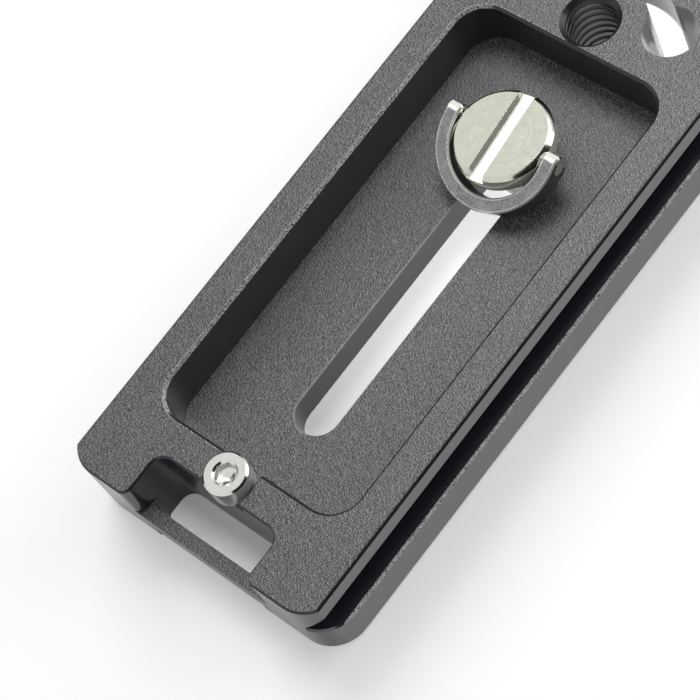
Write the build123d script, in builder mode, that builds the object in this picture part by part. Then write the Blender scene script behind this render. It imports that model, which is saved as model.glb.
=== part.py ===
from build123d import *
import math
import os

# Tripod quick release plate with a 38 mm dovetail, a captive camera screw
# and a folding D-ring.  Millimetres.
# The plate lies on its camera face.  The origin is the centre of that face,
# +Z points up to the rim, and +Y points to the end with the threaded hole.

# Plate outline
LENGTH = 100.0
FLANGE_WIDTH = 39.8
END_RADIUS = 4.7
HEIGHT = 10.5
BASE_CHAMFER = 0.3

# Dovetail on the long sides
RIM_WIDTH = 38.0
LIP_HEIGHT = 2.3
GROOVE_DEPTH = 2.5
GROOVE_STEP = 0.75
FLANGE_CHAMFER = 0.25
RIM_CHAMFER = 0.25

# Pocket and the slot for the camera screw
POCKET_WIDTH = 29.1
NEAR_LAND = 10.9
POCKET_LENGTH = 62.1
POCKET_RADIUS = 4.0
POCKET_CHAMFER = 0.35
WEB = 3.75
SLOT_WIDTH = 5.83
SLOT_NEAR_GAP = 7.8

# Strap notch and strap bar at the near end
NOTCH_WIDTH = 18.8
NOTCH_DEPTH = 6.5
NOTCH_INNER_RADIUS = 1.8
NOTCH_MOUTH_RADIUS = 1.25
BAR_DEPTH = 1.75
BAR_TOP = 4.85
BAR_CORNER = 1.3
BAR_RELIEF_WIDTH = 17.0
BAR_RELIEF_HEIGHT = 1.7

# Threaded hole and the arched opening round it
HOLE_FROM_POCKET = 4.06
HOLE_RADIUS = 3.175
HOLE_CHAMFER = 0.6
ARCH_RADIUS = 8.15
ARCH_WIDTH = 3.0
LOBE_RADIUS = 3.43
LOBE_REACH = 9.84
LOBE_ANGLE = 18.3
ARCH_BLEND = 1.2

# Stop screws, M3 with a socket head
STOP_FROM_END = 8.5
STOP_THREAD_RADIUS = 1.5
STOP_LENGTH = 6.0
STOP_HEAD_RADIUS = 2.75
STOP_HEAD_HEIGHT = 3.0
STOP_HEAD_CHAMFER = 0.25
STOP_SOCKET_FLATS = 2.5
STOP_SOCKET_DEPTH = 1.3
STOP_SOCKET_ANGLE = -4.0
STOP_SOCKET_MOUTH = 1.6
STOP_MOUTH_DEPTH = 0.25
STOP_CONE_DEPTH = 0.6
RECESS_RADIUS = 3.3
RECESS_DEPTH = 1.4
RECESS_CORNER = 0.5

# Camera screw, 1/4 inch
SCREW_FROM_POCKET_END = 13.45
THREAD_RADIUS = 3.1
THREAD_CLEARANCE = 0.08
THREAD_LENGTH = 3.6
THREAD_TIP = 0.9
TIP_HEIGHT = 0.05
NECK_RADIUS = 2.5
HEAD_RADIUS = 6.2
HEAD_HEIGHT = 2.6
HEAD_CHAMFER = 0.6
HEAD_EDGE = 0.15
HEAD_SLOT_WIDTH = 2.1
HEAD_SLOT_DEPTH = 1.25
HEAD_SLOT_ANGLE = 5.2

# Folding ring and its pivot pins
RING_CLEARANCE = 0.1
RING_STRIP = 1.85
RING_THICKNESS = 3.0
RING_ARM = 0.65
RING_END = 1.5
RING_END_RADIUS = 1.0
RING_EDGE = 0.2
RING_FLOOR_GAP = 0.06
PIVOT_BELOW_TOP = 1.5
PIN_RADIUS = 0.75
PIN_CLEARANCE = 0.05
PIN_BITE = 1.5
PIN_END_GAP = 0.2

# Places worked out from the sizes above
LIP_UNDER = HEIGHT - LIP_HEIGHT
FLANGE_HEIGHT = LIP_UNDER - GROOVE_DEPTH - GROOVE_STEP
NEAR_END = -LENGTH / 2
POCKET_NEAR = NEAR_END + NEAR_LAND
POCKET_FAR = POCKET_NEAR + POCKET_LENGTH
HOLE_Y = POCKET_FAR + HOLE_FROM_POCKET
SCREW_Y = POCKET_FAR - SCREW_FROM_POCKET_END
SLOT_NEAR = POCKET_NEAR + SLOT_NEAR_GAP
SLOT_CENTRE_NEAR = SLOT_NEAR + SLOT_WIDTH / 2
HEAD_TOP = HEIGHT
PIVOT_Z = HEAD_TOP - PIVOT_BELOW_TOP
RING_INNER = HEAD_RADIUS + RING_CLEARANCE
RING_OUTER = RING_INNER + RING_STRIP
PIN_INNER = HEAD_RADIUS - PIN_BITE
STOP_SEAT = HEIGHT - RECESS_DEPTH
STOP_NEAR_Y = NEAR_END + STOP_FROM_END
STOP_FAR_Y = LENGTH / 2 - STOP_FROM_END


# Plate: one machined block with a dovetail groove along both sides
with BuildPart() as plate_body:
    with BuildSketch():
        RectangleRounded(FLANGE_WIDTH, LENGTH, END_RADIUS)
    extrude(amount=HEIGHT)
    chamfer(plate_body.edges().group_by(Axis.Z)[0], length=BASE_CHAMFER)

    # Dovetail groove, drawn on the +X side and mirrored
    groove_bottom = RIM_WIDTH / 2 - GROOVE_DEPTH
    with BuildSketch(Plane.XZ):
        with BuildLine():
            Polyline(
                (RIM_WIDTH / 2, HEIGHT + 1),
                (RIM_WIDTH / 2, LIP_UNDER),
                (groove_bottom, LIP_UNDER - GROOVE_DEPTH),
                (groove_bottom, FLANGE_HEIGHT),
                (FLANGE_WIDTH, FLANGE_HEIGHT),
                (FLANGE_WIDTH, HEIGHT + 1),
                close=True,
            )
        make_face()
        mirror(about=Plane.YZ)
    extrude(amount=LENGTH, both=True, mode=Mode.SUBTRACT)
    flange_edges = plate_body.edges().filter_by(Axis.Y).filter_by_position(
        Axis.Z, FLANGE_HEIGHT - 0.01, FLANGE_HEIGHT + 0.01
    )
    chamfer(flange_edges.group_by(Axis.X)[0], length=FLANGE_CHAMFER)
    chamfer(flange_edges.group_by(Axis.X)[-1], length=FLANGE_CHAMFER)

    # Pocket, open towards the rim
    with BuildSketch(Plane.XY.offset(WEB)):
        with Locations((0, (POCKET_NEAR + POCKET_FAR) / 2)):
            RectangleRounded(POCKET_WIDTH, POCKET_LENGTH, POCKET_RADIUS)
    extrude(amount=HEIGHT, mode=Mode.SUBTRACT)

    # Strap notch: the outer part stops at the top of the strap bar
    with BuildSketch(Plane.XY.offset(BAR_TOP)):
        with Locations((0, NEAR_END + NOTCH_DEPTH / 2)):
            Rectangle(NOTCH_WIDTH, NOTCH_DEPTH)
    extrude(amount=HEIGHT, mode=Mode.SUBTRACT)
    notch_edges = plate_body.edges().filter_by(Axis.Z).filter_by_position(
        Axis.X, -NOTCH_WIDTH / 2 - 0.01, NOTCH_WIDTH / 2 + 0.01
    )
    mouth = notch_edges.filter_by_position(Axis.Y, NEAR_END - 0.01, NEAR_END + 0.01)
    fillet(mouth, radius=NOTCH_MOUTH_RADIUS)
    notch_wall = NEAR_END + NOTCH_DEPTH
    inner = notch_edges.filter_by_position(Axis.Y, notch_wall - 0.01, notch_wall + 0.01)
    fillet(inner, radius=NOTCH_INNER_RADIUS)

    # Arched opening round the threaded hole, with a round lobe at each end
    arch_sweep = 180 - 2 * LOBE_ANGLE
    lobe_x = LOBE_REACH * math.cos(math.radians(LOBE_ANGLE))
    lobe_y = HOLE_Y + LOBE_REACH * math.sin(math.radians(LOBE_ANGLE))
    with BuildSketch() as arch:
        with BuildLine(mode=Mode.PRIVATE):
            arch_line = CenterArc((0, HOLE_Y), ARCH_RADIUS, LOBE_ANGLE, arch_sweep)
        SlotArc(arch_line, ARCH_WIDTH)
        with Locations((-lobe_x, lobe_y), (lobe_x, lobe_y)):
            Circle(LOBE_RADIUS)
        offset(amount=ARCH_BLEND, kind=Kind.ARC)
        offset(amount=-ARCH_BLEND, kind=Kind.ARC)
    extrude(amount=HEIGHT, mode=Mode.SUBTRACT)

    # Broken edges on the rim: the outline with its notch, then the pocket
    rim = plate_body.faces().sort_by(Axis.Z)[-1]
    chamfer(rim.outer_wire().edges(), length=RIM_CHAMFER)
    rim = plate_body.faces().sort_by(Axis.Z)[-1]
    pocket_rim = rim.inner_wires().sort_by(SortBy.LENGTH)[-1]
    chamfer(pocket_rim.edges(), length=POCKET_CHAMFER)

    # Through opening behind the strap bar, and the relief under the bar
    opening_depth = NOTCH_DEPTH - BAR_DEPTH
    with BuildSketch() as strap_opening:
        with Locations((0, NEAR_END + BAR_DEPTH + opening_depth / 2)):
            Rectangle(NOTCH_WIDTH, opening_depth)
        fillet(strap_opening.vertices().group_by(Axis.Y)[0], radius=BAR_CORNER)
        fillet(strap_opening.vertices().group_by(Axis.Y)[-1], radius=NOTCH_INNER_RADIUS)
    extrude(amount=BAR_TOP, mode=Mode.SUBTRACT)
    with BuildSketch():
        with Locations((0, NEAR_END + BAR_DEPTH / 2)):
            Rectangle(BAR_RELIEF_WIDTH, BAR_DEPTH)
    extrude(amount=BAR_RELIEF_HEIGHT, mode=Mode.SUBTRACT)

    # Slot for the neck of the camera screw, and the round hole it ends in
    slot_run = SCREW_Y - SLOT_CENTRE_NEAR
    with BuildSketch():
        with Locations((0, SLOT_CENTRE_NEAR + slot_run / 2)):
            SlotCenterToCenter(slot_run, SLOT_WIDTH, rotation=90)
        with Locations((0, SCREW_Y)):
            Circle(THREAD_RADIUS + THREAD_CLEARANCE)
    extrude(amount=WEB, mode=Mode.SUBTRACT)

    # Threaded hole with a countersunk mouth on both faces
    with Locations((0, HOLE_Y, HEIGHT)):
        CounterSinkHole(HOLE_RADIUS, HOLE_RADIUS + HOLE_CHAMFER, counter_sink_angle=90)
    with Locations(Plane((0, HOLE_Y, 0), z_dir=(0, 0, -1))):
        CounterSinkHole(HOLE_RADIUS, HOLE_RADIUS + HOLE_CHAMFER, counter_sink_angle=90)

    # Recesses and screw holes of the two stop screws
    with BuildSketch(Plane.XY.offset(STOP_SEAT)):
        with Locations((0, STOP_NEAR_Y), (0, STOP_FAR_Y)):
            Circle(RECESS_RADIUS)
    extrude(amount=HEIGHT, mode=Mode.SUBTRACT)
    recess_corners = plate_body.edges().filter_by(Axis.Z).filter_by_position(
        Axis.X, -RECESS_RADIUS, RECESS_RADIUS
    ).filter_by_position(Axis.Z, STOP_SEAT, HEIGHT)
    fillet(recess_corners, radius=RECESS_CORNER)
    with BuildSketch(Plane.XY.offset(STOP_SEAT - STOP_LENGTH)):
        with Locations((0, STOP_NEAR_Y), (0, STOP_FAR_Y)):
            Circle(STOP_THREAD_RADIUS)
    extrude(amount=STOP_LENGTH, mode=Mode.SUBTRACT)


# Stop screws: the same screw at each end of the plate
with BuildPart() as stop_screw_near:
    with BuildSketch(Plane.XY.offset(STOP_SEAT - STOP_LENGTH)):
        with Locations((0, STOP_NEAR_Y)):
            Circle(STOP_THREAD_RADIUS)
    extrude(amount=STOP_LENGTH)
    with BuildSketch(Plane.XY.offset(STOP_SEAT)):
        with Locations((0, STOP_NEAR_Y)):
            Circle(STOP_HEAD_RADIUS)
    extrude(amount=STOP_HEAD_HEIGHT)
    chamfer(stop_screw_near.edges().group_by(Axis.Z)[-1], length=STOP_HEAD_CHAMFER)
    with BuildSketch(Plane.XY.offset(STOP_SEAT + STOP_HEAD_HEIGHT)):
        with Locations((0, STOP_NEAR_Y)):
            RegularPolygon(STOP_SOCKET_FLATS / 2, 6, major_radius=False, rotation=STOP_SOCKET_ANGLE)
    extrude(amount=-STOP_SOCKET_DEPTH, mode=Mode.SUBTRACT)
    # Countersunk mouth of the socket, and the drilled cone at its bottom
    socket_bottom = STOP_SEAT + STOP_HEAD_HEIGHT - STOP_SOCKET_DEPTH
    with Locations((0, STOP_NEAR_Y, STOP_SEAT + STOP_HEAD_HEIGHT)):
        Cone(
            STOP_SOCKET_MOUTH - STOP_MOUTH_DEPTH,
            STOP_SOCKET_MOUTH,
            STOP_MOUTH_DEPTH,
            align=(Align.CENTER, Align.CENTER, Align.MAX),
            mode=Mode.SUBTRACT,
        )
    with Locations((0, STOP_NEAR_Y, socket_bottom)):
        Cone(
            0,
            STOP_SOCKET_FLATS / 2,
            STOP_CONE_DEPTH,
            align=(Align.CENTER, Align.CENTER, Align.MAX),
            mode=Mode.SUBTRACT,
        )

with BuildPart() as stop_screw_far:
    with Locations((0, STOP_FAR_Y - STOP_NEAR_Y, 0)):
        add(stop_screw_near.part)


# Camera screw: slotted head, plain neck and a short thread
with BuildPart() as camera_screw:
    thread_top = TIP_HEIGHT + THREAD_LENGTH
    head_under = HEAD_TOP - HEAD_HEIGHT
    with BuildSketch(Plane.XZ.offset(-SCREW_Y)):
        with BuildLine():
            Polyline(
                (0, TIP_HEIGHT),
                (THREAD_RADIUS - THREAD_TIP, TIP_HEIGHT),
                (THREAD_RADIUS, TIP_HEIGHT + THREAD_TIP),
                (THREAD_RADIUS, thread_top),
                (NECK_RADIUS, thread_top),
                (NECK_RADIUS, head_under),
                (HEAD_RADIUS - HEAD_EDGE, head_under),
                (HEAD_RADIUS, head_under + HEAD_EDGE),
                (HEAD_RADIUS, HEAD_TOP - HEAD_CHAMFER),
                (HEAD_RADIUS - HEAD_CHAMFER, HEAD_TOP),
                (0, HEAD_TOP),
                close=True,
            )
        make_face()
    revolve(axis=Axis((0, SCREW_Y, 0), (0, 0, 1)))
    with BuildSketch(Plane.XY.offset(HEAD_TOP)):
        with Locations((0, SCREW_Y)):
            Rectangle(HEAD_SLOT_WIDTH, 3 * HEAD_RADIUS, rotation=HEAD_SLOT_ANGLE)
    extrude(amount=-HEAD_SLOT_DEPTH, mode=Mode.SUBTRACT)
    # Blind holes that the pivot pins turn in
    with BuildSketch(Plane.YZ.offset(PIN_INNER - PIN_END_GAP)):
        with Locations((SCREW_Y, PIVOT_Z)):
            Circle(PIN_RADIUS + PIN_CLEARANCE)
    extrude(amount=HEAD_RADIUS, mode=Mode.SUBTRACT)
    with BuildSketch(Plane.YZ.offset(-PIN_INNER + PIN_END_GAP)):
        with Locations((SCREW_Y, PIVOT_Z)):
            Circle(PIN_RADIUS + PIN_CLEARANCE)
    extrude(amount=-HEAD_RADIUS, mode=Mode.SUBTRACT)


# Folding ring: a U of thick strip, drawn in its own drooping plane.
# It droops until the middle of its bow is the floor gap above the pocket's floor.
ring_drop = PIVOT_Z - WEB - RING_FLOOR_GAP
bow_reach = RING_ARM + RING_OUTER - RING_EDGE
corner_reach = math.hypot(bow_reach, RING_THICKNESS / 2)
droop = math.asin(ring_drop / corner_reach) - math.atan(RING_THICKNESS / 2 / bow_reach)
ring_plane = Plane(
    origin=(0, SCREW_Y, PIVOT_Z),
    x_dir=(1, 0, 0),
    z_dir=(0, -math.sin(droop), math.cos(droop)),
)
with BuildPart() as d_ring:
    with BuildSketch(ring_plane):
        with Locations((0, -RING_ARM)):
            Circle(RING_OUTER)
        with Locations((0, -RING_ARM / 2)):
            Rectangle(2 * RING_OUTER, RING_ARM)
        with Locations((0, RING_OUTER)):
            Rectangle(2 * RING_OUTER, 2 * RING_OUTER, mode=Mode.SUBTRACT)
        with Locations((0, -RING_ARM)):
            Circle(RING_INNER, mode=Mode.SUBTRACT)
        with Locations((0, -RING_ARM / 2)):
            Rectangle(2 * RING_INNER, RING_ARM, mode=Mode.SUBTRACT)
    extrude(amount=RING_THICKNESS / 2, both=True)
    # The arms run on past the pivot and end with rounded corners
    arm_plane = Plane(
        origin=(RING_INNER, SCREW_Y, PIVOT_Z),
        x_dir=(0, math.cos(droop), math.sin(droop)),
        z_dir=(1, 0, 0),
    )
    with BuildSketch(arm_plane) as arm_end:
        Rectangle(RING_END, RING_THICKNESS, align=(Align.MIN, Align.CENTER))
        fillet(arm_end.vertices().group_by(Axis.X)[-1], radius=RING_END_RADIUS)
    extrude(amount=RING_STRIP)
    mirror(about=Plane.YZ)
    # Broken edges all along the strip and round its ends
    chamfer(d_ring.edges().filter_by(Axis.X, reverse=True), length=RING_EDGE)
    # Holes for the pins
    with BuildSketch(Plane.YZ):
        with Locations((SCREW_Y, PIVOT_Z)):
            Circle(PIN_RADIUS)
    extrude(amount=2 * RING_OUTER, both=True, mode=Mode.SUBTRACT)


# Pivot pins: pressed into the arms of the ring, turning in the head
with BuildPart() as ring_pivot_pins:
    with BuildSketch(Plane.YZ.offset(PIN_INNER)):
        with Locations((SCREW_Y, PIVOT_Z)):
            Circle(PIN_RADIUS)
    extrude(amount=RING_OUTER - PIN_INNER)
    mirror(about=Plane.YZ)


plate_body.part.label = "plate_body"
stop_screw_near.part.label = "stop_screw_near"
stop_screw_far.part.label = "stop_screw_far"
camera_screw.part.label = "camera_screw"
d_ring.part.label = "d_ring"
ring_pivot_pins.part.label = "ring_pivot_pins"

os.makedirs("parts", exist_ok=True)
export_step(plate_body.part, "parts/plate_body.step")
export_step(stop_screw_near.part, "parts/stop_screw_near.step")
export_step(stop_screw_far.part, "parts/stop_screw_far.step")
export_step(camera_screw.part, "parts/camera_screw.step")
export_step(d_ring.part, "parts/d_ring.step")
export_step(ring_pivot_pins.part, "parts/ring_pivot_pins.step")
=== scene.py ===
"""Looks for the tripod quick release plate: finishes, threads, light and camera."""

from math import cos, radians, sin, tau

import bpy
import bmesh
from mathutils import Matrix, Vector


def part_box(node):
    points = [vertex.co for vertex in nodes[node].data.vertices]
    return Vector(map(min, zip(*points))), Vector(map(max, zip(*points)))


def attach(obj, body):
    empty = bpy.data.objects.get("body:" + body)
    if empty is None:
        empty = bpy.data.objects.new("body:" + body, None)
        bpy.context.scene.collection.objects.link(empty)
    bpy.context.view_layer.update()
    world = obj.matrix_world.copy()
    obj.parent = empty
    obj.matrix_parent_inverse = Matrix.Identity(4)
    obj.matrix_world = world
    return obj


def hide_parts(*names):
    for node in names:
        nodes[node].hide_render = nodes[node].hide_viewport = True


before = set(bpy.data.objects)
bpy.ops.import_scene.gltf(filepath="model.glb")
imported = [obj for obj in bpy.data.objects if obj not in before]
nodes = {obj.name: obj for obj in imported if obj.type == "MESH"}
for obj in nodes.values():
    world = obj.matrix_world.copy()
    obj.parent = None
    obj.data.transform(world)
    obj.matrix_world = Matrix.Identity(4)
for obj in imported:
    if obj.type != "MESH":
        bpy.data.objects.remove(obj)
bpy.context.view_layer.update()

# Sizes in metres, read from the solids where they can be
MM = 0.001
plate_low, plate_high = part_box("plate_body")
screw_low, screw_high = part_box("camera_screw")
near_low, near_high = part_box("stop_screw_near")
far_low, far_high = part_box("stop_screw_far")

# Plate
HALF_WIDTH = plate_high[0]
HALF_LENGTH = plate_high[1]
RIM_Z = plate_high[2]
RIM_HALF = 19.0 * MM
RIM_CHAMFER = 0.25 * MM
GROOVE_INSIDE = 16.0 * MM
FLANGE_Z = 4.95 * MM
POCKET_FLOOR = 3.75 * MM

# Openings of the plate: middle along Y, half width, half length and corner radius
POCKET = (-8.05 * MM, 14.55 * MM, 31.05 * MM, 4.0 * MM)
STRAP_CUT = (plate_low[1], 9.4 * MM, 6.5 * MM, 1.8 * MM)
SLOT = (-9.35 * MM, 2.915 * MM, 21.95 * MM, 2.915 * MM)

# Tripod hole, and the ring round it in which the arched opening lies
HOLE_Y = 27.06 * MM
HOLE_RADIUS = 3.175 * MM
HOLE_MOUTH = 0.6 * MM
ARCH_REACH = (5.5 * MM, 14.0 * MM)
ARCH_Y = (25.0 * MM, 37.4 * MM)

# Camera screw
SCREW_Y = (screw_low[1] + screw_high[1]) / 2
SCREW_TOP = screw_high[2]
SCREW_TIP = screw_low[2]
HEAD_RADIUS = screw_high[0]
HEAD_CHAMFER = 0.6 * MM
HEAD_SLOT_FLOOR = SCREW_TOP - 1.25 * MM
SCREW_THREAD_TOP = 3.65 * MM
SCREW_THREAD_RADIUS = 3.1 * MM
CORE_RADIUS = 2.48 * MM
CORE_CHAMFER = 0.5 * MM
CORE_OVERLAP = 0.4 * MM
BROKEN_EDGE = 0.05 * MM

# Stop screws
NEAR_STOP_Y = (near_low[1] + near_high[1]) / 2
FAR_STOP_Y = (far_low[1] + far_high[1]) / 2

# Folding ring
PIVOT_Z = SCREW_TOP - 1.5 * MM
RING_TILT = radians(26.58)
RING_ARM = 0.65 * MM
RING_MIDDLE = 7.225 * MM
RING_STRIP = 1.85 * MM
ARM_POLISH = 0.45 * MM
RING_BORDER = 0.27 * MM

# 1/4 inch thread
PITCH = 1.27 * MM
RIDGE_ROOT = 0.86 * PITCH
RIDGE_SINK = 0.03 * MM
RIDGE_STEPS = 96
HOLE_RIDGE_DEPTH = 0.60 * MM
HOLE_RIDGE_CREST = 0.24 * PITCH
HOLE_RIDGE_START = HOLE_MOUTH + 0.05 * MM
HOLE_RIDGE_RISE = RIM_Z - 2 * HOLE_RIDGE_START
SCREW_RIDGE_CREST = 0.16 * PITCH
SCREW_RIDGE_START = SCREW_TIP + 0.6 * MM
SCREW_RIDGE_RISE = SCREW_THREAD_TOP - SCREW_TIP - 0.85 * MM

# A face counts as flat above the first cosine of its lean, and as a wall below the second
FLAT_COSINE = 0.93
WALL_COSINE = 0.3

DEEP_BLACK = (0.0105, 0.0118, 0.0175)
BLAST_DARK = (0.004, 0.004, 0.005)
BLAST_LIGHT = (0.235, 0.235, 0.237)
# Grey of the painted highlight along the slot's left edge
SLOT_EDGE_GREY = (0.30, 0.30, 0.30)
RUBBED_CREST = (0.34, 0.34, 0.34)
ARCH_WALL = (0.42, 0.42, 0.42)
# Grey of the painted edge highlights
EDGE_HIGHLIGHT_GREY = (0.62, 0.62, 0.61)
HEAD_COLOUR = (0.590, 0.590, 0.510)
STOP_COLOUR = (0.640, 0.650, 0.610)
# Painted highlight on the floor and painted shade on the walls of the screw head's slot
SLOT_FLOOR_HIGHLIGHT = (1.0, 1.0, 0.93)
SLOT_WALL_SHADE = (0.13, 0.13, 0.12)
RING_DARK = (0.10, 0.10, 0.10)
RING_LIGHT = (0.38, 0.38, 0.38)
RING_POLISH = (0.84, 0.84, 0.80)


def tinted(colour, share):
    """The colour, darker or lighter by this share."""
    return tuple(share * part for part in colour)


class Value:
    """A socket of a node tree, so that sums on it read as sums."""

    def __init__(self, tree, socket):
        self.tree = tree
        self.socket = socket

    def maths(self, operation, *others, clamp=False):
        node = self.tree.nodes.new("ShaderNodeMath")
        node.operation = operation
        node.use_clamp = clamp
        for place, term in enumerate((self, *others)):
            if isinstance(term, Value):
                self.tree.links.new(term.socket, node.inputs[place])
            else:
                node.inputs[place].default_value = term
        return Value(self.tree, node.outputs[0])

    def __add__(self, other):
        return self.maths("ADD", other)

    __radd__ = __add__

    def __mul__(self, other):
        return self.maths("MULTIPLY", other)

    __rmul__ = __mul__

    def __sub__(self, other):
        return self.maths("SUBTRACT", other)

    def __rsub__(self, other):
        return (self * -1) + other

    def __truediv__(self, other):
        return self.maths("DIVIDE", other)

    def __abs__(self):
        return self.maths("ABSOLUTE")

    def __pow__(self, other):
        return self.maths("POWER", other)

    def low(self, other):
        return self.maths("MINIMUM", other)

    def high(self, other):
        return self.maths("MAXIMUM", other)

    def held(self):
        """The same number, kept between 0 and 1."""
        return self.maths("ADD", 0, clamp=True)

    def above(self, edge, blur):
        """0 below the edge, 1 above it, with a soft step as wide as the blur."""
        return ((self - edge) / blur + 0.5).held()

    def below(self, edge, blur):
        """1 below the edge, 0 above it, with a soft step as wide as the blur."""
        return 1 - self.above(edge, blur)

    def between(self, edges, blur):
        """1 between two edges and 0 outside them, with soft steps."""
        return self.above(edges[0], blur) * self.below(edges[1], blur)

    def away(self, other):
        """The distance from the place where this number and the other are both 0."""
        return (self * self + other * other) ** 0.5


class Tree:
    """A node tree: of a finish, of the world or of a wound ridge."""

    def __init__(self, tree):
        self.tree = tree

    def node(self, kind, settings=None, values=None):
        """Adds a node: its settings first, then the values or links of its sockets."""
        node = self.tree.nodes.new(kind)
        for name, value in (settings or {}).items():
            setattr(node, name, value)
        for name, value in (values or {}).items():
            socket = node.inputs[name]
            if isinstance(value, Value):
                self.tree.links.new(value.socket, socket)
            elif socket.type == "RGBA":
                socket.default_value = (*value, 1)
            else:
                socket.default_value = value
        return node

    def out(self, node, name=0):
        return Value(self.tree, node.outputs[name])

    def added(self, kind, settings=None, values=None):
        """Adds a node and gives its first output."""
        return self.out(self.node(kind, settings, values))

    def mix(self, factor, first, second):
        """A colour between two colours, each of them fixed or a link."""
        mixed = self.node("ShaderNodeMix", {"data_type": "RGBA"}, {0: factor, 6: first, 7: second})
        return self.out(mixed, 2)

    def split(self, vector):
        parts = self.node("ShaderNodeSeparateXYZ", None, {"Vector": vector})
        return [self.out(parts, axis) for axis in "XYZ"]

    def seen_rays(self):
        """1 for what the camera sees, by itself or in a shiny or clear piece."""
        rays = self.node("ShaderNodeLightPath")
        seen = self.out(rays, "Is Camera Ray").high(self.out(rays, "Is Glossy Ray"))
        return seen.high(self.out(rays, "Is Transmission Ray"))


class Finish(Tree):
    """A material with one glossy shader, made node by node."""

    def __init__(self, name, **constants):
        self.material = bpy.data.materials.new(name)
        self.material.use_nodes = True
        super().__init__(self.material.node_tree)
        self.shader = self.tree.nodes["Principled BSDF"]
        for socket, value in constants.items():
            self.shader.inputs[socket.replace("_", " ")].default_value = value

    def place(self):
        """Object coordinates in millimetres: the vector, and its x, y and z."""
        metres = self.out(self.node("ShaderNodeTexCoord"), "Object")
        scaled = {"Vector": metres, "Scale": 1 / MM}
        vector = self.added("ShaderNodeVectorMath", {"operation": "SCALE"}, scaled)
        return vector, self.split(vector)

    def facing(self):
        """The surface's own direction on the piece: the vector, and how far it looks up."""
        direction = self.out(self.node("ShaderNodeTexCoord"), "Normal")
        return direction, self.split(direction)[2]

    def grain(self, vector, scale, detail=2.0, roughness=0.55):
        """Soft cloudy noise, as many clouds to a millimetre as the scale."""
        look = {"Vector": vector, "Scale": scale, "Detail": detail, "Roughness": roughness}
        return self.added("ShaderNodeTexNoise", None, look)

    def grains(self, vector, scale):
        """A number for each grain, as many grains to a millimetre as the scale."""
        cells = self.node("ShaderNodeTexVoronoi", {"feature": "F1"}, {"Vector": vector, "Scale": scale})
        return self.split(self.out(cells, "Color"))[0]

    def off_opening(self, x, y, opening):
        """How many millimetres a place stands outside an opening of the plate."""
        middle, half_width, half_length, corner = (size / MM for size in opening)
        over_x = (abs(x) - (half_width - corner)).high(0)
        over_y = (abs(y - middle) - (half_length - corner)).high(0)
        return over_x.away(over_y) - corner

    def bump(self, height, strength, distance):
        relief = {"Height": height, "Strength": strength, "Distance": distance}
        self.set("Normal", self.added("ShaderNodeBump", None, relief))

    def set(self, socket, value):
        self.tree.links.new(value.socket, self.shader.inputs[socket])


class PlateAreas:
    """Where each finish of the plate lies: numbers from 0 outside to 1 inside."""

    def __init__(self, black, place, pits):
        x, y, z = place
        direction, up = black.facing()
        to_right, to_far, _ = black.split(direction)
        side = abs(x)
        frayed = (pits - 0.5) * 0.9
        off_pocket = black.off_opening(x, y, POCKET)
        off_cut = black.off_opening(x, y, STRAP_CUT)
        off_slot = black.off_opening(x, y, SLOT)
        off_hole = x.away(y - HOLE_Y / MM)

        self.flat = abs(up).above(FLAT_COSINE, 0.06)
        leaning = up.above(0.35, 0.1) * (1 - self.flat)
        left_half = x.below(0, 0.5)
        near_top = z.above(RIM_Z / MM - 0.6, 0.05)
        on_rim = z.above(RIM_Z / MM - 0.05, 0.02)
        on_flange = abs(z - FLANGE_Z / MM).below(0.5, 0.1)

        # The rim's border, from 0.1 mm inside the chamfer, is left smooth, not blasted; the flange's outer
        # strip stays blasted and carries a painted highlight
        smooth_border = (side + frayed).above((RIM_HALF - RIM_CHAMFER) / MM - 0.10, 0.05) * on_rim
        self.strip = (side + frayed * 0.25).above(HALF_WIDTH / MM - 0.34, 0.05) * on_flange
        groove = side.above(GROOVE_INSIDE / MM, 0.2) * on_flange * (1 - self.strip)

        # Painted highlight: the edges on the left half of the pocket and the strap cut, on faces turned to
        # the right, and the flange strip's chamfer are made lighter
        pocket_edge = (off_pocket + frayed * 0.2).below(0.42, 0.05)
        pocket_edge = pocket_edge * to_right.high(self.flat).above(0.2, 0.1)
        cut_rim = (off_cut + frayed * 0.3).below(0.2, 0.05) * self.flat
        rim_edge_highlight = up.above(0.35, 0.1) * near_top * pocket_edge.high(cut_rim) * left_half
        self.edge_highlight = rim_edge_highlight.high(self.strip * leaning)
        on_floor = z.above(POCKET_FLOOR / MM - 0.75, 0.1) * self.flat
        # Painted highlight: a lighter line along the slot's left edge on the pocket floor
        self.slot_edge_highlight = (off_slot + frayed * 0.3).below(0.22, 0.06) * on_floor * left_half
        self.blasted = (self.flat * (1 - groove) * (1 - smooth_border)).high(self.edge_highlight)

        # Inside the openings
        in_hole = off_hole.below(HOLE_RADIUS / MM + 0.70, 0.05)
        self.thread_crest = in_hole * off_hole.below(HOLE_RADIUS / MM - 0.47, 0.06)
        arch_reach = [reach / MM for reach in ARCH_REACH]
        arch_y = [reach / MM for reach in ARCH_Y]
        self.arch_wall = (1 - self.flat) * off_hole.between(arch_reach, 0.2) * y.between(arch_y, 0.2)

        # How strongly the smooth walls mirror the room
        slot_wall = off_pocket.below(0, 0.1) * side.below(3.0, 0.1)
        in_cut = off_cut.below(0.02, 0.02)
        dulled = (in_cut * 0.8).high(slot_wall * 0.5).high(in_hole * 0.7)
        to_near = (to_far * -1).above(0.6, 0.3)
        wall = (1 - self.blasted) * (1 - self.flat) * (1 - leaning * near_top * 0.9)
        self.shine = wall * (1 - dulled) * (1 - to_near * 0.65)


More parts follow.
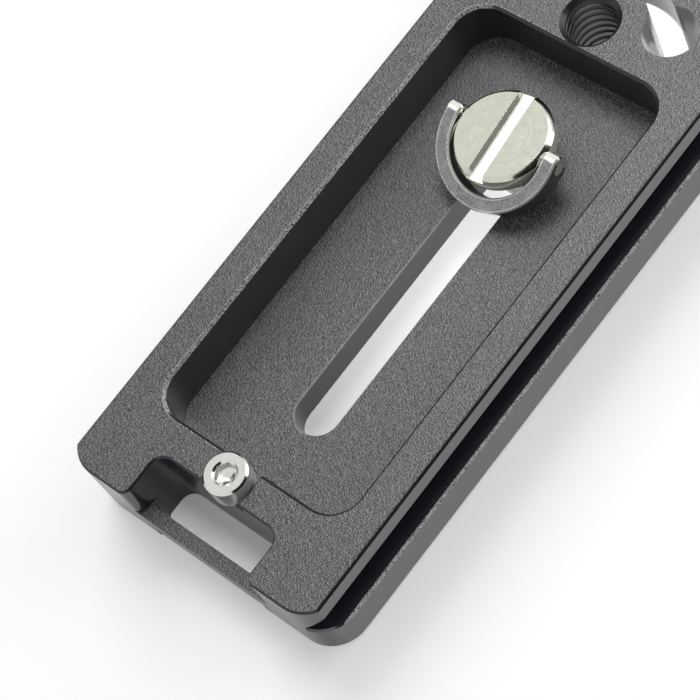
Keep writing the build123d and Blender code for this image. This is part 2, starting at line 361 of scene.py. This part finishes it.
def blasted_colour(black, vector, pits, areas):
    """Grains about an eighth of a millimetre across, with painted light and shade on one side of each, and
    painted highlights along edges.
    """
    # Painted light and shade: each grain less the grain a little way off to one side, so that each grain
    # looks lit on one side and shaded on the other
    aside = black.added("ShaderNodeVectorMath", None, {0: vector, 1: (0.10, 0.06, 0.05)})
    here = black.grains(vector, 8.5)
    beside = black.grains(aside, 8.5)
    drift = black.grain(vector, 0.16, 2.0, 0.5)
    grains_and_painted_relief = (here - beside) * 2.0 + (pits - 0.5) * 0.9 + (drift - 0.5) * 0.2 + 0.245
    colour = black.mix(grains_and_painted_relief.held(), BLAST_DARK, BLAST_LIGHT)
    # Painted highlight in grains on those edges and over the flange strip
    highlight_grains = (here + areas.strip * 0.1).above(0.38, 0.3) * (areas.strip * 0.2 + 0.8)
    colour = black.mix(areas.edge_highlight.high(areas.strip * areas.flat) * highlight_grains, colour, EDGE_HIGHLIGHT_GREY)
    return black.mix(areas.slot_edge_highlight * 0.7, colour, SLOT_EDGE_GREY)


def smooth_colour(black, cloud, pits, areas):
    """Deep black walls, lighter in the arched opening and on the crests of the tripod thread."""
    colour = black.mix(cloud, tinted(DEEP_BLACK, 0.75), tinted(DEEP_BLACK, 1.35))
    colour = black.mix(areas.arch_wall * 0.8, colour, ARCH_WALL)
    return black.mix(areas.thread_crest * pits.above(0.35, 0.3), colour, RUBBED_CREST)


def anodised_finish():
    """Black anodised aluminium: blasted where it looks up or down, smooth where it was cut later."""
    black = Finish("black_anodised", Metallic=0.0, IOR=1.45, Coat_IOR=1.75, Coat_Roughness=0.16)
    vector, place = black.place()
    pits = black.grain(vector, 3.6, 2.0, 0.6)
    relief = black.grain(vector, 5.0, 1.0, 0.5)
    cloud = black.grain(vector, 0.45, 3.0, 0.6)
    areas = PlateAreas(black, place, pits)
    smooth = smooth_colour(black, cloud, pits, areas)
    black.set("Base Color", black.mix(areas.blasted, smooth, blasted_colour(black, vector, pits, areas)))
    black.set("Roughness", areas.blasted * 0.16 + 0.30 + (cloud - 0.5) * 0.10)
    black.set("Coat Weight", areas.shine)
    black.bump(relief * (areas.blasted * 0.95 + 0.05), 1.0, 0.07 * MM)
    return black.material


def turned_steel(name, centre_y, colour, slotted=False):
    """Turned steel: fine rings round an axis along Z, and slightly warm."""
    steel = Finish(name, Metallic=1.0)
    vector, (x, y, z) = steel.place()
    _, up = steel.facing()
    radius = x.away(y - centre_y / MM)
    top = abs(up).above(FLAT_COSINE, 0.05)
    wall = abs(up).below(WALL_COSINE, 0.1)
    track = steel.added("ShaderNodeCombineXYZ", None, {"X": radius * 1.3 + z * 1.9, "Y": 0.37})
    rings = steel.grain(track, 6.0, 3.0, 0.7)
    patches = steel.grain(vector, 1.3, 2.0, 0.5)
    broken = steel.grain(vector, 4.0, 2.0, 0.6)
    marks = (rings - 0.5) * (0.5 + broken * 1.2 + (1 - top) * 1.8)
    shade = marks + (patches - 0.5) * 0.4 + (broken - 0.5) * 0.3 + 0.5
    body = steel.mix(shade.held(), tinted(colour, 0.80), tinted(colour, 1.18))

    # The slot of the screw's head: a painted highlight on its floor between walls darkened with painted
    # shade
    in_slot = z.above(HEAD_SLOT_FLOOR / MM - 0.1, 0.02) * z.below(SCREW_TOP / MM - 0.05, 0.04)
    slot_floor = top * in_slot
    if slotted:
        inside_rim = radius.below((HEAD_RADIUS - HEAD_CHAMFER) / MM - 0.15, 0.05)
        slot_wall = wall * inside_rim * z.above(HEAD_SLOT_FLOOR / MM, 0.02)
        body = steel.mix(slot_floor * 0.9, body, SLOT_FLOOR_HIGHLIGHT)
        body = steel.mix(slot_wall * 0.9, body, SLOT_WALL_SHADE)
    steel.set("Base Color", body)
    steel.set("Metallic", 1 - (wall * 0.55).high(slot_floor * 0.7))
    steel.set("Roughness", (patches - 0.5) * 0.06 + (rings - 0.5) * 0.06 + slot_floor * 0.3 + 0.14)
    steel.bump(rings * 0.8 + broken * 0.2, 0.35, 0.014 * MM)
    return steel.material


def ring_finish():
    """Dark matte steel on the flats of the ring, bright where its edges and ends are polished."""
    steel = Finish("ring_steel", Metallic=1.0)
    vector, (x, y, z) = steel.place()
    direction, _ = steel.facing()
    ring_up = (0, -sin(RING_TILT), cos(RING_TILT))
    across = steel.node("ShaderNodeVectorMath", {"operation": "DOT_PRODUCT"}, {0: direction, 1: ring_up})
    lean = abs(steel.out(across, "Value"))
    flat = lean.above(FLAT_COSINE, 0.05)
    grain = steel.grains(vector, 8.0)
    fray = steel.grain(vector, 4.6, 2.0, 0.5)
    patches = steel.grain(vector, 0.9, 2.0, 0.5)
    along = (y - SCREW_Y / MM) * cos(RING_TILT) + (z - PIVOT_Z / MM) * sin(RING_TILT)
    reach = x.away((along + RING_ARM / MM).low(0))
    border = abs(reach - RING_MIDDLE / MM).above((RING_STRIP / 2 - RING_BORDER) / MM, 0.06) * flat
    edge = (lean.above(0.35, 0.15) * (1 - flat)).high(border * fray.above(0.42, 0.1))
    end = (along + (fray - 0.5) * 0.4).above(ARM_POLISH / MM, 0.12)
    polished = end.high(edge)
    shade = (grain - 0.5) * 0.5 + (patches - 0.5) * 0.5 + 0.42
    steel.set("Base Color", steel.mix(polished, steel.mix(shade.held(), RING_DARK, RING_LIGHT), RING_POLISH))
    steel.set("Metallic", 1 - edge * 0.6)
    steel.set("Roughness", flat * 0.16 + 0.30 - polished * 0.14 + (patches - 0.5) * 0.12)
    steel.bump(grain * (1 - polished * 0.8), 0.5, 0.01 * MM)
    return steel.material


def floor_finish():
    """White table, seen brighter than it lights the plate; under the plate its glow is painted light and
    shade that brightens to the far end.
    """
    white = Finish("white_table", Roughness=0.8, Specular_IOR_Level=0.0, Emission_Strength=1.0)
    seen = white.seen_rays()
    _, (x, y, _) = white.place()
    # Painted light and shade on the table under the plate: a dimmer glow near the middle, brightening
    # towards the far end and a little at the near end
    under = abs(x).below(HALF_WIDTH / MM - 0.6, 0.4) * abs(y).below(HALF_LENGTH / MM - 0.6, 0.4)
    painted_under_glow = y.above(-10.0, 50.0) * 0.75 + y.below(-46.5, 3.0) * 0.20 + 0.12
    open_glow = 0.30
    glow = under * (painted_under_glow - open_glow) + open_glow
    white.set("Base Color", white.mix(seen, (0.60, 0.60, 0.60), (1.0, 1.0, 1.0)))
    white.set("Emission Color", white.mix(seen * glow, (0, 0, 0), (1, 1, 1)))
    return white.material


def paint(piece, material):
    """Gives every slot of the piece this one material."""
    if not piece.data.materials:
        piece.data.materials.append(material)
    for place in range(len(piece.data.materials)):
        piece.data.materials[place] = material


def ridge_group():
    """A ridge with a trapezoid section, wound on a spiral and tapered at both ends."""
    group = bpy.data.node_groups.new("wound_ridge", "GeometryNodeTree")
    face = group.interface
    face.new_socket("Geometry", in_out="OUTPUT", socket_type="NodeSocketGeometry")
    for name in ("Radius", "Turns", "Rise", "Root", "Crest", "Depth", "Sink", "Facing", "Taper"):
        face.new_socket(name, in_out="INPUT", socket_type="NodeSocketFloat")
    face.new_socket("Steps", in_out="INPUT", socket_type="NodeSocketInt")
    face.new_socket("Material", in_out="INPUT", socket_type="NodeSocketMaterial")
    ridge = Tree(group)
    source = ridge.node("NodeGroupInput")
    given = {item.name: ridge.out(source, item.name) for item in face.items_tree if item.in_out == "INPUT"}

    spiral = {
        "Resolution": given["Steps"],
        "Rotations": given["Turns"],
        "Start Radius": given["Radius"],
        "End Radius": given["Radius"],
        "Height": given["Rise"],
    }
    line = ridge.added("GeometryNodeCurveSpiral", None, spiral)
    line = ridge.added("GeometryNodeSetCurveNormal", {"mode": "Z_UP"}, {"Curve": line})
    along = ridge.out(ridge.node("GeometryNodeSplineParameter"), "Factor")
    swell = (along.low(1 - along) / given["Taper"]).low(1.0).high(0.02)

    trapezoid = {
        "Height": given["Depth"],
        "Bottom Width": given["Root"],
        "Top Width": given["Crest"],
        "Offset": 0.0,
    }
    section = ridge.added("GeometryNodeCurvePrimitiveQuadrilateral", {"mode": "TRAPEZOID"}, trapezoid)
    shift = ridge.added("ShaderNodeCombineXYZ", None, {"Y": given["Depth"] * 0.5 - given["Sink"]})
    section = ridge.added("GeometryNodeTransform", None, {"Geometry": section, "Translation": shift})
    turn = ridge.added("ShaderNodeCombineXYZ", None, {"Z": given["Facing"]})
    section = ridge.added("GeometryNodeTransform", None, {"Geometry": section, "Rotation": turn})

    swept = {"Curve": line, "Profile Curve": section, "Scale": swell, "Fill Caps": True}
    wound = ridge.added("GeometryNodeCurveToMesh", None, swept)
    painted = {"Geometry": wound, "Material": given["Material"]}
    wound = ridge.added("GeometryNodeSetMaterial", None, painted)
    wound = ridge.added("GeometryNodeRealizeInstances", None, {"Geometry": wound})
    ridge.node("NodeGroupOutput", None, {0: wound})
    return group


def wound_mesh(name, group, place, **values):
    """The ridge as a plain mesh in its place."""
    start = bpy.data.objects.new(name + "_start", bpy.data.meshes.new(name + "_start"))
    bpy.context.scene.collection.objects.link(start)
    wound = start.modifiers.new("wound", "NODES")
    wound.node_group = group
    sockets = {item.name: item.identifier for item in group.interface.items_tree if item.in_out == "INPUT"}
    for label, value in values.items():
        wound[sockets[label]] = value
    graph = bpy.context.evaluated_depsgraph_get()
    finished = start.evaluated_get(graph)
    mesh = bpy.data.meshes.new_from_object(finished, preserve_all_data_layers=True, depsgraph=graph)
    start.modifiers.remove(wound)
    bpy.data.objects.remove(start)
    mesh.name = name
    for vertex in mesh.vertices:
        vertex.co += Vector(place)
    return mesh


def add_piece(name, mesh, body):
    """Shows the mesh as a piece that rides on this body."""
    piece = bpy.data.objects.new(name, mesh)
    bpy.context.scene.collection.objects.link(piece)
    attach(piece, body)
    return piece


def add_hole_thread(group, material):
    """The 1/4 inch thread in the tripod hole, standing in from the wall of the solid."""
    mesh = wound_mesh(
        "tripod_thread",
        group,
        (0, HOLE_Y, HOLE_RIDGE_START),
        Radius=HOLE_RADIUS,
        Turns=HOLE_RIDGE_RISE / PITCH,
        Rise=HOLE_RIDGE_RISE,
        Root=RIDGE_ROOT,
        Crest=HOLE_RIDGE_CREST,
        Depth=HOLE_RIDGE_DEPTH,
        Sink=RIDGE_SINK,
        Facing=radians(90),
        Taper=0.05,
        Steps=RIDGE_STEPS,
        Material=material,
    )
    return add_piece("tripod_thread", mesh, "plate")


def screw_ridge(group, material):
    """The 1/4 inch thread of the camera screw, standing out from its core."""
    return wound_mesh(
        "screw_ridge",
        group,
        (0, SCREW_Y, SCREW_RIDGE_START),
        Radius=CORE_RADIUS,
        Turns=SCREW_RIDGE_RISE / PITCH,
        Rise=SCREW_RIDGE_RISE,
        Root=RIDGE_ROOT,
        Crest=SCREW_RIDGE_CREST,
        Depth=SCREW_THREAD_RADIUS - CORE_RADIUS + RIDGE_SINK,
        Sink=RIDGE_SINK,
        Facing=radians(-90),
        Taper=0.12,
        Steps=RIDGE_STEPS,
        Material=material,
    )


def add_lathed(shape, profile, steps):
    """Adds a closed turned form round the axis of the camera screw to the shape."""
    turns = [step * tau / steps for step in range(steps)]
    rings = []
    for radius, height in profile:
        if radius == 0:
            rings.append([shape.verts.new((0, SCREW_Y, height))])
            continue
        rings.append([shape.verts.new((radius * cos(t), SCREW_Y + radius * sin(t), height)) for t in turns])
    for lower, upper in zip(rings, rings[1:]):
        for step in range(steps):
            after = (step + 1) % steps
            if len(lower) == 1:
                shape.faces.new((lower[0], upper[after], upper[step]))
            elif len(upper) == 1:
                shape.faces.new((lower[step], lower[after], upper[0]))
            else:
                shape.faces.new((lower[step], lower[after], upper[after], upper[step]))


def screw_shape(solid):
    """The solid's head and neck, cut off where the thread starts, on a turned core."""
    cut = SCREW_THREAD_TOP + 0.01 * MM
    shape = bmesh.new()
    shape.from_mesh(solid.data)
    bmesh.ops.remove_doubles(shape, verts=shape.verts, dist=0.0002 * MM)
    everything = shape.verts[:] + shape.edges[:] + shape.faces[:]
    level = {"plane_co": (0, 0, cut), "plane_no": (0, 0, 1)}
    bmesh.ops.bisect_plane(shape, geom=everything, clear_inner=True, **level)
    bmesh.ops.holes_fill(shape, edges=[edge for edge in shape.edges if edge.is_boundary])
    profile = [
        (0, SCREW_TIP),
        (CORE_RADIUS - CORE_CHAMFER, SCREW_TIP),
        (CORE_RADIUS, SCREW_TIP + CORE_CHAMFER),
        (CORE_RADIUS, cut + CORE_OVERLAP),
        (0, cut + CORE_OVERLAP),
    ]
    add_lathed(shape, profile, 96)
    bmesh.ops.recalc_face_normals(shape, faces=shape.faces)
    bmesh.ops.dissolve_limit(shape, angle_limit=radians(0.5), verts=shape.verts, edges=shape.edges)
    return shape


def add_dressed_screw(group, material):
    """The camera screw with its thread, its edges lightly broken."""
    shape = screw_shape(nodes["camera_screw"])
    ridge = screw_ridge(group, material)
    shape.from_mesh(ridge)
    mesh = bpy.data.meshes.new("dressed_screw")
    shape.to_mesh(mesh)
    shape.free()
    bpy.data.meshes.remove(ridge)
    mesh.materials.append(material)
    for face in mesh.polygons:
        face.material_index = 0
        face.use_smooth = True
    mesh.set_sharp_from_angle(angle=radians(28))
    piece = add_piece("dressed_screw", mesh, "screw")
    broken = piece.modifiers.new("broken_edges", "BEVEL")
    broken.width = BROKEN_EDGE
    broken.segments = 2
    broken.limit_method = "ANGLE"
    broken.angle_limit = radians(35)
    flattened = piece.modifiers.new("flat_faces_stay_flat", "WEIGHTED_NORMAL")
    flattened.keep_sharp = True
    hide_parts("camera_screw")
    return piece


black = anodised_finish()
head_steel = turned_steel("turned_steel", SCREW_Y, HEAD_COLOUR, slotted=True)
paint(nodes["plate_body"], black)
paint(nodes["camera_screw"], head_steel)
paint(nodes["d_ring"], ring_finish())
paint(nodes["ring_pivot_pins"], turned_steel("pin_steel", SCREW_Y, HEAD_COLOUR))
paint(nodes["stop_screw_near"], turned_steel("near_stop_steel", NEAR_STOP_Y, STOP_COLOUR))
paint(nodes["stop_screw_far"], turned_steel("far_stop_steel", FAR_STOP_Y, STOP_COLOUR))
wound_ridge = ridge_group()
add_hole_thread(wound_ridge, black)
add_dressed_screw(wound_ridge, head_steel)


# Studio
TABLE_REACH = 3.0
LAMP_TARGET = Vector((0.0, 0.005, 0.008))
CARD_X = 0.35
CARD_Y = (-0.35, 0.33)
CARD_Z = (0.03, 0.33)
CAMERA_PLACE = (0.146853, -0.077128, 0.261558)
CAMERA_TURN = (26.9941, 18.0855, 39.9373)
CAMERA_LENS = 134.18
CAMERA_SHIFT = (0.0786, 0.0229)


def add_lamp(name, direction, distance, size, power):
    """A square soft box that looks at the plate from this direction."""
    lamp = bpy.data.lights.new(name, "AREA")
    lamp.shape = "RECTANGLE"
    lamp.size, lamp.size_y = size
    lamp.energy = power
    holder = bpy.data.objects.new(name, lamp)
    away = Vector(direction).normalized()
    holder.location = LAMP_TARGET + away * distance
    holder.rotation_euler = (-away).to_track_quat("-Z", "Y").to_euler()
    bpy.context.scene.collection.objects.link(holder)
    return holder


def add_sheet(name, corners, material):
    """A flat sheet of the studio, which isn't part of the plate."""
    mesh = bpy.data.meshes.new(name)
    mesh.from_pydata(corners, [], [(0, 1, 2, 3)])
    mesh.materials.append(material)
    sheet = bpy.data.objects.new(name, mesh)
    bpy.context.scene.collection.objects.link(sheet)
    return sheet


def add_table():
    signs = ((-1, -1), (1, -1), (1, 1), (-1, 1))
    corners = [(x * TABLE_REACH, y * TABLE_REACH, 0) for x, y in signs]
    return add_sheet("table_top", corners, floor_finish())


def add_dark_card():
    """A dark card to the right, seen only in what shines, which darkens the cut edges."""
    dull = Finish("dark_card", Base_Color=(0.02, 0.02, 0.02, 1), Roughness=1.0, Specular_IOR_Level=0.0)
    low, high = CARD_Z
    near, far = CARD_Y
    corners = [(CARD_X, near, low), (CARD_X, far, low), (CARD_X, far, high), (CARD_X, near, high)]
    card = add_sheet("dark_card", corners, dull.material)
    card.visible_camera = False
    card.visible_diffuse = False
    card.visible_shadow = False
    return card


def add_world():
    """Plain grey light from all sides, which looks white where it is seen."""
    world = bpy.data.worlds.new("studio")
    world.use_nodes = True
    studio = Tree(world.node_tree)
    background = studio.tree.nodes["Background"]
    background.inputs["Strength"].default_value = 1.0
    shade = studio.mix(studio.seen_rays(), (0.35, 0.35, 0.355), (1, 1, 1))
    studio.tree.links.new(shade.socket, background.inputs["Color"])
    bpy.context.scene.world = world


def add_camera():
    """The camera solved from the photograph."""
    camera = bpy.data.cameras.new("camera")
    camera.sensor_width = 36.0
    camera.lens = CAMERA_LENS
    camera.shift_x, camera.shift_y = CAMERA_SHIFT
    camera.clip_start = 0.01
    camera.clip_end = 20.0
    holder = bpy.data.objects.new("camera", camera)
    holder.location = CAMERA_PLACE
    holder.rotation_euler = [radians(turn) for turn in CAMERA_TURN]
    bpy.context.scene.collection.objects.link(holder)
    bpy.context.scene.camera = holder


add_table()
add_dark_card()
add_world()
key_box = add_lamp("key_box", (-0.70, 0.42, 0.80), 0.9, (0.60, 0.60), 4.0)
key_box.visible_glossy = False
sheen_box = add_lamp("sheen_box", (-0.071, 0.400, 0.914), 0.6, (0.25, 0.25), 5.6)
sheen_box.visible_diffuse = False
add_lamp("far_panel", (0.38, 0.82, 0.42), 0.55, (0.5, 0.25), 0.9)
add_camera()
bpy.context.scene.view_settings.view_transform = "Standard"
